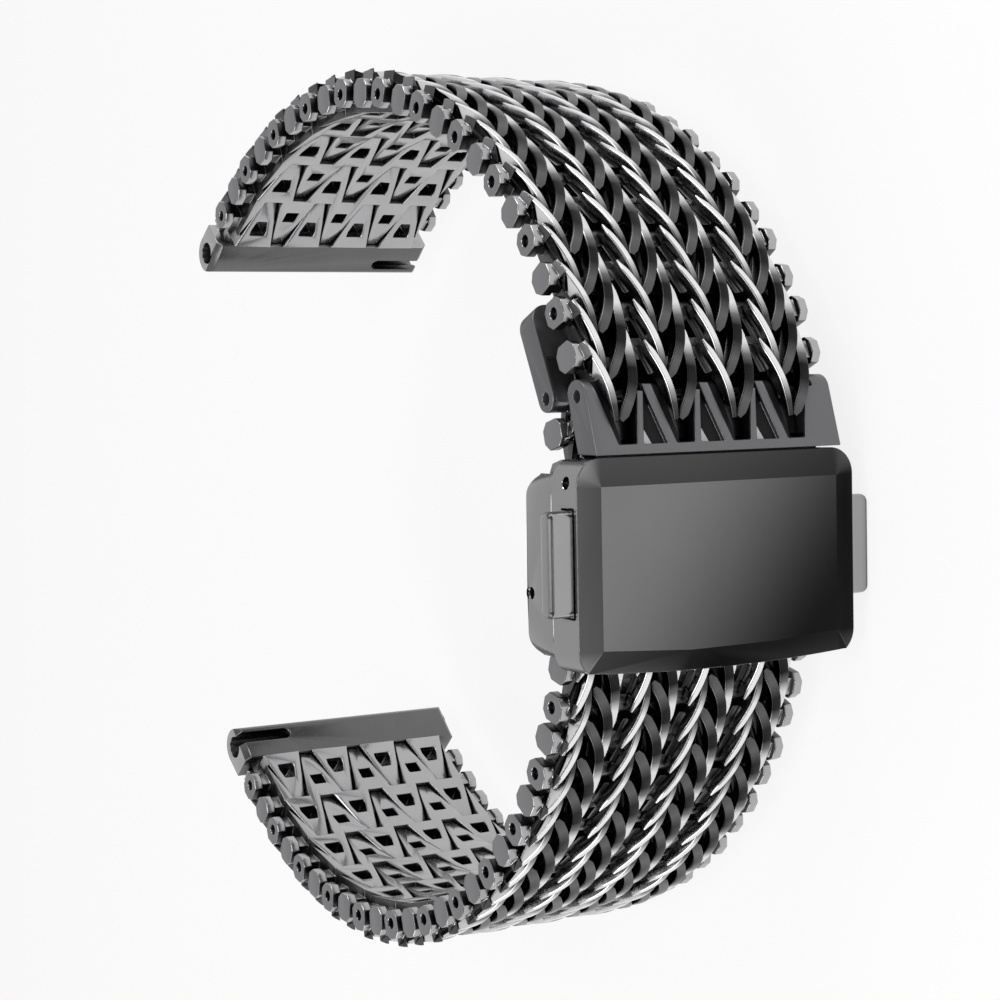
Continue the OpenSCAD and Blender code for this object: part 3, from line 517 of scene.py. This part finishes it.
def spring_steel(finish):
    return metal("spring_steel", finish.spring, 0.2, 0.02, recess_shade_depth=0)


def magnet_plating(finish):
    return metal("magnet_plating", finish.magnet, 0.12, 0.02, recess_shade_depth=0)


# Meshes


def finished(name, mesh, angle=35):
    """Shades a mesh smooth between sharp edges."""
    mesh.name = name
    for face in mesh.polygons:
        face.use_smooth = True
    mesh.set_sharp_from_angle(angle=math.radians(angle))
    return mesh


def cleaned(node, place=None):
    """A copy of a CAD node's mesh as a bmesh, with its flat faces joined, in the frame given."""
    bm = bmesh.new()
    bm.from_mesh(frame["nodes"][node].data)
    bmesh.ops.remove_doubles(bm, verts=bm.verts, dist=WELD * MM)
    bmesh.ops.dissolve_limit(bm, angle_limit=math.radians(FLAT_ANGLE), verts=bm.verts, edges=bm.edges)
    if place:
        bm.transform(place.inverted())
        bm.normal_update()
    return bm


def bevelled(name, bm, width, angle=32, segments=2):
    """Turns a bmesh into a mesh with narrow rounded edges."""
    mesh = bpy.data.meshes.new(name)
    bm.to_mesh(mesh)
    bm.free()
    piece = bpy.data.objects.new(name, mesh)
    bpy.context.scene.collection.objects.link(piece)
    edges = piece.modifiers.new("edges", "BEVEL")
    edges.width = width * MM
    edges.segments = segments
    edges.limit_method = "ANGLE"
    edges.angle_limit = math.radians(angle)
    edges.use_clamp_overlap = False
    edges.miter_outer = "MITER_ARC"
    result = bpy.data.meshes.new_from_object(piece.evaluated_get(bpy.context.evaluated_depsgraph_get()))
    bpy.data.objects.remove(piece)
    return finished(name, result)


def polished(bm):
    """Marks the cover's sloping bevels and its flat outer face, each for a metal of its own with painted
    light and shade.
    """
    for face in bm.faces:
        outwards = -face.normal.y
        outer = face.calc_center_median().y < FACE_DEPTH * MM
        if outer and outwards > 0.995:
            face.material_index = 2
        elif outer and outwards > 0.2:
            face.material_index = 1
    return bm


def recessed(bm):
    """Marks the floors and walls of the fork's windows, which lie below the tops of its legs, for painted
    shade.
    """
    for face in bm.faces:
        centre = face.calc_center_median()
        below = centre.y < (FORK_FLOOR + 0.15) * MM
        inside = centre.x < WINDOW_END * MM and abs(centre.z) < WINDOW_SIDE * MM
        if inside and below and face.normal.y > -0.3:
            face.material_index = 1
    return bm


def with_painted_glints(mesh):
    """Adds a small light quad just above the floor in the corner of each of the fork's windows, beside its
    straight leg: a painted glint.
    """
    bm = bmesh.new()
    bm.from_mesh(mesh)
    for column in FORK_COLUMNS:
        height = (FORK_FLOOR + GLINT_HEIGHT) * MM
        glint = bm.faces.new([bm.verts.new((x * MM, height, (z + column) * MM)) for x, z in GLINT_OUTLINE])
        glint.normal_update()
        if glint.normal.y < 0:
            glint.normal_flip()
        glint.material_index = 2
    bm.to_mesh(mesh)
    bm.free()
    return mesh


def show(name, mesh, material, body, nodes, place=None):
    """Puts a mesh in the scene as a piece that stands for CAD nodes."""
    piece = bpy.data.objects.new(name, mesh)
    bpy.context.scene.collection.objects.link(piece)
    if not mesh.materials:
        mesh.materials.append(material)
    if place:
        piece.matrix_world = place
    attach(piece, body)
    if nodes:
        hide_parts(*nodes)
    return piece


def body_of(node):
    """The body that the record puts a node on."""
    for body, members in frame["record"]["behaviour"]["bodies"].items():
        if node in members:
            return body
    raise RuntimeError("no body holds " + node)


# Arms


def arm_height(arms, top, x):
    """Height of an arm's arched back, flatter towards the tip than towards the end."""
    arch = arms.arch if x > arms.crest else arms.arch * TIP_ARCH
    return top - arch + math.sqrt(arch ** 2 - (x - arms.crest) ** 2)


def arm_underside(arms, pitch, x):
    """Height of an arm's underside, which rises at both hinges so that the next links can turn under it."""
    past = max(-x, x - pitch)
    if past < -HINGE_REACH:
        return arms.root
    return arms.root + HINGE_STEP + HINGE_RISE * max(0, past)


def add_arm(bm, path, width, height, root, arms, side):
    """Sweeps one arm, a wall with an arched and rounded back. path gives x, z and a share of the width."""
    rings = []
    along_arm = bm.verts.layers.float.get("along") or bm.verts.layers.float.new("along")
    for n in range(arms.steps + 1):
        t = n / arms.steps
        x, z, share = path(t)
        x1, z1, unused = path(min(1, t + 0.01))
        x0, z0, unused = path(max(0, t - 0.01))
        along = Vector((x1 - x0, z1 - z0)).normalized()
        across = Vector((-along.y, along.x))
        half = width * share / 2
        bevel = min(arms.edge, half * 0.7)
        top = height(x)
        edge = [(half - bevel * (1 - math.cos(a)), top - bevel * (1 - math.sin(a)))
                for a in EDGE_TURNS]
        low = min(root(x), top - bevel - THINNEST)
        section = [(half, low), *edge, *((-s, h) for s, h in reversed(edge)), (-half, low)]
        rings.append([
            bm.verts.new((MM * (x + across.x * s), MM * side * h, MM * (z + across.y * s)))
            for s, h in section
        ])
        for vert in rings[-1]:
            vert[along_arm] = t
    count = len(rings[0])
    for a, b in zip(rings, rings[1:]):
        for k in range(count):
            m = (k + 1) % count
            bm.faces.new((a[k], b[k], b[m], a[m]))
    bm.faces.new(rings[0])
    bm.faces.new(list(reversed(rings[-1])))


def tapered(t, tip, growth, loss, last):
    """Share of an arm's width: it grows from the tip, and is lost again after the last full place."""
    return min(1.0, tip + growth * t) * (1 - loss * max(0, t - last) / (1 - last))


def blade_path(k, shift, column):
    """A blade runs aslant, from a sharp tip to its joined end."""

    def at(t):
        x = BLADE_RUN[0] + BLADE_RUN[1] * t
        z = BLADE_DRIFT[0] - BLADE_DRIFT[1] * t - BLADE_DRIFT[2] * math.sin(math.pi * t)
        return (x * k + shift, z + column, tapered(t, *BLADE_TAPER))

    return at


def hook_path(k, shift, column):
    """A hook runs straight and then curves over to its narrow end."""

    def at(t):
        x = HOOK_RUN[0] + HOOK_RUN[1] * t
        z = HOOK_DRIFT[0] + HOOK_DRIFT[1] * t ** 3
        return (x * k + shift, z + column, tapered(t, *HOOK_TAPER))

    return at


def arms_mesh(name, arms, k, shifts, side, path, width, top):
    """All arms of one kind on a link, in a single mesh."""
    bm = bmesh.new()
    for shift in shifts:
        for column in COLUMNS:
            add_arm(bm, path(k, shift, column), width, lambda x: arm_height(arms, top, (x - shift) / k),
                    lambda x: arm_underside(arms, 2 * arms.row * k, x), arms, side)
    bmesh.ops.recalc_face_normals(bm, faces=bm.faces)
    mesh = bpy.data.meshes.new(name)
    bm.to_mesh(mesh)
    bm.free()
    return finished(name, mesh, 40)


def without_arms(bm, side):
    """Cuts the plain arms of the CAD link away above the knuckles, between the stub caps."""
    floor = ARM_FLOOR * MM
    wall = STUB_WALL * MM
    planes = (((0, side * floor, 0), (0, side, 0)), ((0, 0, wall), (0, 0, 1)), ((0, 0, -wall), (0, 0, -1)))
    for place, normal in planes:
        everything = bm.verts[:] + bm.edges[:] + bm.faces[:]
        bmesh.ops.bisect_plane(bm, geom=everything, plane_co=place, plane_no=normal, dist=CUT)
    above = []
    for face in bm.faces:
        centre = face.calc_center_median()
        if centre.y * side > floor and abs(centre.z) < wall:
            above.append(face)
    bmesh.ops.delete(bm, geom=above, context="FACES")
    rims = [e for e in bm.edges if e.is_boundary]
    bmesh.ops.holes_fill(bm, edges=rims, sides=0)
    bmesh.ops.dissolve_limit(bm, angle_limit=math.radians(FLAT_ANGLE), verts=bm.verts, edges=bm.edges)
    # Painted light and shade: inner faces and the stubs' outer faces take the lighter metal (index 1); every
    # other face but the stub caps' end faces takes the dark one (index 2).
    for face in bm.faces:
        z = abs(face.calc_center_median().z)
        outwards = face.normal.y * side
        if outwards < -0.6 or (outwards > 0.6 and z > STUB_EDGE * MM):
            face.material_index = 1
        elif not (abs(face.normal.z) > 0.9 and z > CAP_FACE * MM):
            face.material_index = 2
    return bm


# Operators, one for each group of pieces


class BAND_OT_links(bpy.types.Operator):
    """Add the links of both straps, each with its stubs and two rows of arms"""

    bl_idname = "band.links"
    bl_label = "Strap links"

    def execute(self, context):
        sizes = context.scene.band_strap
        arms = context.scene.band_arms
        finish = context.scene.band_finish
        steel = strap_steel(finish)
        ratio = sizes.lower_pitch / sizes.upper_pitch
        inner = painted_light_steel(finish)
        bodies = []
        for kind, place, side in (("upper", upper_frame(sizes, 0), 1), ("lower", lower_frame(sizes, 0), -1)):
            link = without_arms(cleaned(f"{kind}_link_01", place), side)
            bodies.append(bevelled(f"{kind}_link", link, sizes.edge))
        upper, lower = bodies
        for mesh in (upper, lower):
            for plating in (steel, inner, painted_dark_steel(finish)):
                mesh.materials.append(plating)
        kinds = (("blades", blade_path, arms.blade_w, arms.blade_top, blade_steel(finish)),
                 ("hooks", hook_path, arms.hook_w, arms.hook_top, hook_steel(finish)))
        upper_arms = []
        lower_arms = []
        for kind, path, width, top, plating in kinds:
            mesh = arms_mesh(f"upper_{kind}", arms, 1, (0, arms.row), 1, path, width, top)
            upper_arms.append((kind, mesh, plating))
            rows = (0, sizes.lower_pitch / 2)
            mesh = arms_mesh(f"lower_{kind}", arms, ratio, rows, -1, path, width, top)
            lower_arms.append((kind, mesh, plating))
        for j in range(UPPER_LINKS):
            node = f"upper_link_{j + 1:02d}"
            place = upper_frame(sizes, j)
            show(f"{node}_body", upper, steel, body_of(node), [node], place)
            for kind, mesh, plating in upper_arms:
                show(f"{node}_{kind}", mesh, plating, body_of(node), [], place)
        for i in range(LOWER_LINKS):
            node = f"lower_link_{i + 1:02d}"
            place = lower_frame(sizes, i)
            show(f"{node}_body", lower, steel, body_of(node), [node], place)
            for kind, mesh, plating in lower_arms:
                show(f"{node}_{kind}", mesh, plating, body_of(node), [], place)
        return {"FINISHED"}


class BAND_OT_lug_ends(bpy.types.Operator):
    """Add the two lug ends with their bores and release slots"""

    bl_idname = "band.lug_ends"
    bl_label = "Lug ends"

    def execute(self, context):
        sizes = context.scene.band_strap
        finish = context.scene.band_finish
        steel = lug_steel(finish)
        ratio = sizes.lower_pitch / sizes.upper_pitch
        ends = (("upper_lug_end", upper_frame(sizes, UPPER_LINKS, 1), -FINGER_BACK),
                ("lower_lug_end", lower_frame(sizes, -1, 1), -FINGER_BACK * ratio))
        for node, place, bar_edge in ends:
            bm = cleaned(node, place)
            everything = bm.verts[:] + bm.edges[:] + bm.faces[:]
            bmesh.ops.bisect_plane(bm, geom=everything, plane_co=(bar_edge * MM, 0, 0),
                                   plane_no=(1, 0, 0), dist=CUT)
            # Painted light: the fingers and the end faces take the lighter metal (index 1).
            for face in bm.faces:
                finger = face.calc_center_median().x > bar_edge * MM
                face.material_index = int(finger or abs(face.normal.z) > 0.9)
            mesh = bevelled(node + "_dressed", bm, sizes.edge)
            mesh.materials.append(steel)
            mesh.materials.append(painted_light_steel(finish))
            show(node + "_dressed", mesh, steel, body_of(node), [node], place)
        return {"FINISHED"}


class BAND_OT_clasp(bpy.types.Operator):
    """Add the clasp's cover, base, flap, fork and tail plate with softened edges"""

    bl_idname = "band.clasp"
    bl_label = "Clasp"

    def execute(self, context):
        finish = context.scene.band_finish
        steel = clasp_steel(finish)
        sides = side_painted_light_steel(finish)
        cover = bevelled("cover", polished(cleaned("clasp_cover")), COVER_EDGE, 14)
        mesh = finished("clasp_cover_dressed", cover, 13)
        for plating in (sides, cover_bevel_steel(finish), cover_face_steel(finish)):
            mesh.materials.append(plating)
        show("clasp_cover_dressed", mesh, sides, body_of("clasp_cover"), ["clasp_cover"])
        strap = context.scene.band_strap
        place = turned(Vector((strap.fork_x, strap.fork_y, 0)), 180 + FORK_SLOPE)
        fork = bevelled("fork_link_dressed", recessed(cleaned("fork_link", place)), FORK_EDGE)
        mesh = with_painted_glints(fork)
        for plating in (steel, painted_window_shade(finish), painted_light_steel(finish)):
            mesh.materials.append(plating)
        show("fork_link_dressed", mesh, steel, body_of("fork_link"), ["fork_link"], place)
        for node, width, plating in (("clasp_base", BASE_EDGE, sides), ("locking_flap", FLAP_EDGE, steel),
                                     ("tail_plate", TAIL_EDGE, steel)):
            mesh = bevelled(node + "_dressed", cleaned(node), width)
            show(node + "_dressed", mesh, plating, body_of(node), [node])
        return {"FINISHED"}


def pad_outline(low, high, radius, inset, steps=6):
    """Points round a button's outline: a rectangle with round corners, drawn in by an inset. In metres."""
    radius = max(radius - inset, THINNEST * MM)
    left, right = low[0] + inset + radius, high[0] - inset - radius
    front, back = low[1] + inset + radius, high[1] - inset - radius
    points = []
    for corner, (x, y) in enumerate(((right, back), (left, back), (left, front), (right, front))):
        for n in range(steps + 1):
            a = math.radians(90 * (corner + n / steps))
            points.append((x + radius * math.cos(a), y + radius * math.sin(a)))
    return points


def add_pad(bm, box, seat, round_edge, side):
    """A button's pad: straight walls from its seat, and an outer edge rounded over a quarter circle."""
    top = max(abs(box[0][2]), abs(box[1][2]))
    levels = [(seat, 0)]
    for n in range(6):
        a = math.radians(18 * n)
        levels.append((top - round_edge + round_edge * math.sin(a), round_edge * (1 - math.cos(a))))
    rings = []
    for z, inset in levels:
        outline = pad_outline(*box, PAD_CORNER * MM, inset)
        rings.append([bm.verts.new((x, y, side * z)) for x, y in outline])
    for level, (a, b) in enumerate(zip(rings, rings[1:])):
        for k in range(len(a)):
            m = (k + 1) % len(a)
            face = bm.faces.new((a[k], a[m], b[m], b[k]))
            face.normal_update()
            # Painted dark reflection: front and back faces at the listed levels of the rounding take the dark
            # metal.
            face.material_index = int(level in PAD_PAINTED_DARK and abs(face.normal.y) > 0.25)
    bm.faces.new(rings[-1])
    bm.faces.new(list(reversed(rings[0])))


class BAND_OT_buttons(bpy.types.Operator):
    """Add the two buttons, each a rounded pad on the prongs that reach into the clasp"""

    bl_idname = "band.buttons"
    bl_label = "Buttons"

    def execute(self, context):
        steel = side_painted_light_steel(context.scene.band_finish)
        seat = PAD_SEAT * MM
        for node, side in (("button_left", 1), ("button_right", -1)):
            bm = cleaned(node)
            outer = [v.co for v in bm.verts if side * v.co.z > seat]
            box = [[low_or_high(v[k] for v in outer) for k in range(3)] for low_or_high in (min, max)]
            everything = bm.verts[:] + bm.edges[:] + bm.faces[:]
            bmesh.ops.bisect_plane(bm, geom=everything, plane_co=(0, 0, side * seat), plane_no=(0, 0, side),
                                   dist=CUT, clear_outer=True)
            bmesh.ops.holes_fill(bm, edges=[e for e in bm.edges if e.is_boundary], sides=0)
            add_pad(bm, box, seat, PAD_ROUNDING * MM, side)
            bmesh.ops.recalc_face_normals(bm, faces=bm.faces)
            mesh = bpy.data.meshes.new(node)
            bm.to_mesh(mesh)
            bm.free()
            mesh.materials.append(steel)
            mesh.materials.append(painted_dark_steel(context.scene.band_finish))
            finished(node + "_dressed", mesh, 40)
            show(node + "_dressed", mesh, steel, body_of(node), [node])
        return {"FINISHED"}


class BAND_OT_inside(bpy.types.Operator):
    """Give the pins, springs, magnets and liner their metals"""

    bl_idname = "band.inside"
    bl_label = "Inner pieces"

    def execute(self, context):
        finish = context.scene.band_finish
        metals = {
            "pin_steel": pin_steel(finish), "spring_steel": spring_steel(finish),
            "magnet": magnet_plating(finish), "liner_steel": liner_steel(finish),
        }
        for subpart in frame["record"]["subparts"]:
            if subpart["material_slot"] in metals:
                mesh = frame["nodes"][subpart["node"]].data
                mesh.materials.clear()
                mesh.materials.append(metals[subpart["material_slot"]])
        return {"FINISHED"}


def add_lamp(name, at, towards, size, brightness):
    """A soft rectangular lamp. Brightness is that of its face, where white paper is 1."""
    light = bpy.data.lights.new(name, "AREA")
    light.shape = "RECTANGLE"
    light.size = size[0] * MM
    light.size_y = size[1] * MM
    light.energy = brightness * math.pi * light.size * light.size_y
    lamp = bpy.data.objects.new(name, light)
    bpy.context.scene.collection.objects.link(lamp)
    lamp.location = Vector(at) * MM
    lamp.rotation_euler = (Vector(towards) - Vector(at)).to_track_quat("-Z", "Y").to_euler()
    return lamp


def plain_paper(name, color):
    """Matt paper."""
    paper = bpy.data.materials.new(name)
    paper.use_nodes = True
    shader = paper.node_tree.nodes["Principled BSDF"]
    shader.inputs["Base Color"].default_value = (*color, 1)
    shader.inputs["Roughness"].default_value = 0.9
    return paper


def studio_world(stage):
    """A room that is brighter behind the band than before it, the same to every kind of ray."""
    world = bpy.data.worlds.new("studio")
    world.use_nodes = True
    nodes = world.node_tree.nodes
    links = world.node_tree.links
    background = nodes["Background"]
    place = nodes.new("ShaderNodeTexCoord")
    facing = nodes.new("ShaderNodeVectorMath")
    facing.operation = "DOT_PRODUCT"
    facing.inputs[1].default_value = Vector((0, -1, 0))
    room = nodes.new("ShaderNodeMapRange")
    room.interpolation_type = "SMOOTHSTEP"
    room.inputs["From Min"].default_value = -0.5
    room.inputs["From Max"].default_value = 0.7
    room.inputs["To Min"].default_value = stage.backdrop
    room.inputs["To Max"].default_value = stage.room
    links.new(place.outputs["Generated"], facing.inputs[0])
    links.new(facing.outputs["Value"], room.inputs["Value"])
    links.new(room.outputs["Result"], background.inputs["Strength"])
    background.inputs["Color"].default_value = (1, 1, 1, 1)
    return world


def floor_paper(stage):
    """White paper that keeps a faint shadow. Camera, glossy and transmission rays see the same paper."""
    paper = plain_paper("floor_paper", stage.floor)
    nodes = paper.node_tree.nodes
    links = paper.node_tree.links
    path = nodes.new("ShaderNodeLightPath")
    either = nodes.new("ShaderNodeMath")
    either.operation = "MAXIMUM"
    seen = nodes.new("ShaderNodeMath")
    seen.operation = "MAXIMUM"
    share = nodes.new("ShaderNodeMath")
    share.operation = "MULTIPLY"
    share.inputs[1].default_value = stage.clean
    white = nodes.new("ShaderNodeEmission")
    white.inputs["Strength"].default_value = 1.0
    mix = nodes.new("ShaderNodeMixShader")
    links.new(path.outputs["Is Camera Ray"], either.inputs[0])
    links.new(path.outputs["Is Glossy Ray"], either.inputs[1])
    links.new(either.outputs["Value"], seen.inputs[0])
    links.new(path.outputs["Is Transmission Ray"], seen.inputs[1])
    links.new(seen.outputs["Value"], share.inputs[0])
    links.new(share.outputs["Value"], mix.inputs["Fac"])
    links.new(nodes["Principled BSDF"].outputs["BSDF"], mix.inputs[1])
    links.new(white.outputs["Emission"], mix.inputs[2])
    links.new(mix.outputs["Shader"], nodes["Material Output"].inputs["Surface"])
    return paper


class BAND_OT_stage(bpy.types.Operator):
    """Add the floor, the lamps, the world and the camera"""

    bl_idname = "band.stage"
    bl_label = "Studio"

    def execute(self, context):
        stage = context.scene.band_stage
        scene = context.scene
        low = CAD_BOX[0][2]
        bpy.ops.mesh.primitive_plane_add(size=6.0, location=(0, 0, low))
        floor = context.object
        floor.name = "floor"
        floor.data.materials.append(floor_paper(stage))

        camera = bpy.data.cameras.new("camera")
        camera.lens = stage.lens
        camera.sensor_width = 36
        camera.clip_start = 0.005
        camera.clip_end = 20
        view = bpy.data.objects.new("camera", camera)
        scene.collection.objects.link(view)
        right = Vector(stage.camera_right).normalized()
        up = -Vector(stage.camera_down).normalized()
        back = right.cross(up)
        turn = Matrix((right, up, back)).transposed().to_4x4()
        view.matrix_world = Matrix.Translation(Vector(stage.camera_at) * MM) @ turn
        scene.camera = view

        for lamp in LAMPS:
            add_lamp(*lamp)
        scene.world = studio_world(stage)
        scene.view_settings.view_transform = "Standard"
        return {"FINISHED"}


class BAND_PT_panel(bpy.types.Panel):
    """The band's pieces and sizes"""

    bl_idname = "BAND_PT_panel"
    bl_label = "Watch Band"
    bl_space_type = "VIEW_3D"
    bl_region_type = "UI"
    bl_category = "Watch Band"

    def draw(self, context):
        for operator in OPERATORS:
            self.layout.operator(operator.bl_idname)
        for holder in GROUPS:
            group = getattr(context.scene, holder)
            for name in group.__annotations__:
                self.layout.prop(group, name)


GROUPS = {"band_strap": StrapSizes, "band_arms": ArmSizes, "band_finish": Finish, "band_stage": StageSizes}
OPERATORS = (BAND_OT_links, BAND_OT_lug_ends, BAND_OT_clasp, BAND_OT_buttons, BAND_OT_inside, BAND_OT_stage)


def register():
    for group in GROUPS.values():
        bpy.utils.register_class(group)
    for name, group in GROUPS.items():
        setattr(bpy.types.Scene, name, PointerProperty(type=group))
    for item in (*OPERATORS, BAND_PT_panel):
        bpy.utils.register_class(item)


def unregister():
    for item in (BAND_PT_panel, *reversed(OPERATORS)):
        bpy.utils.unregister_class(item)
    for name, group in reversed(GROUPS.items()):
        delattr(bpy.types.Scene, name)
        bpy.utils.unregister_class(group)


def main():
    register()
    for call in (bpy.ops.band.links, bpy.ops.band.lug_ends, bpy.ops.band.clasp, bpy.ops.band.buttons,
                 bpy.ops.band.inside, bpy.ops.band.stage):
        call()


if __name__ == "__main__":
    main()
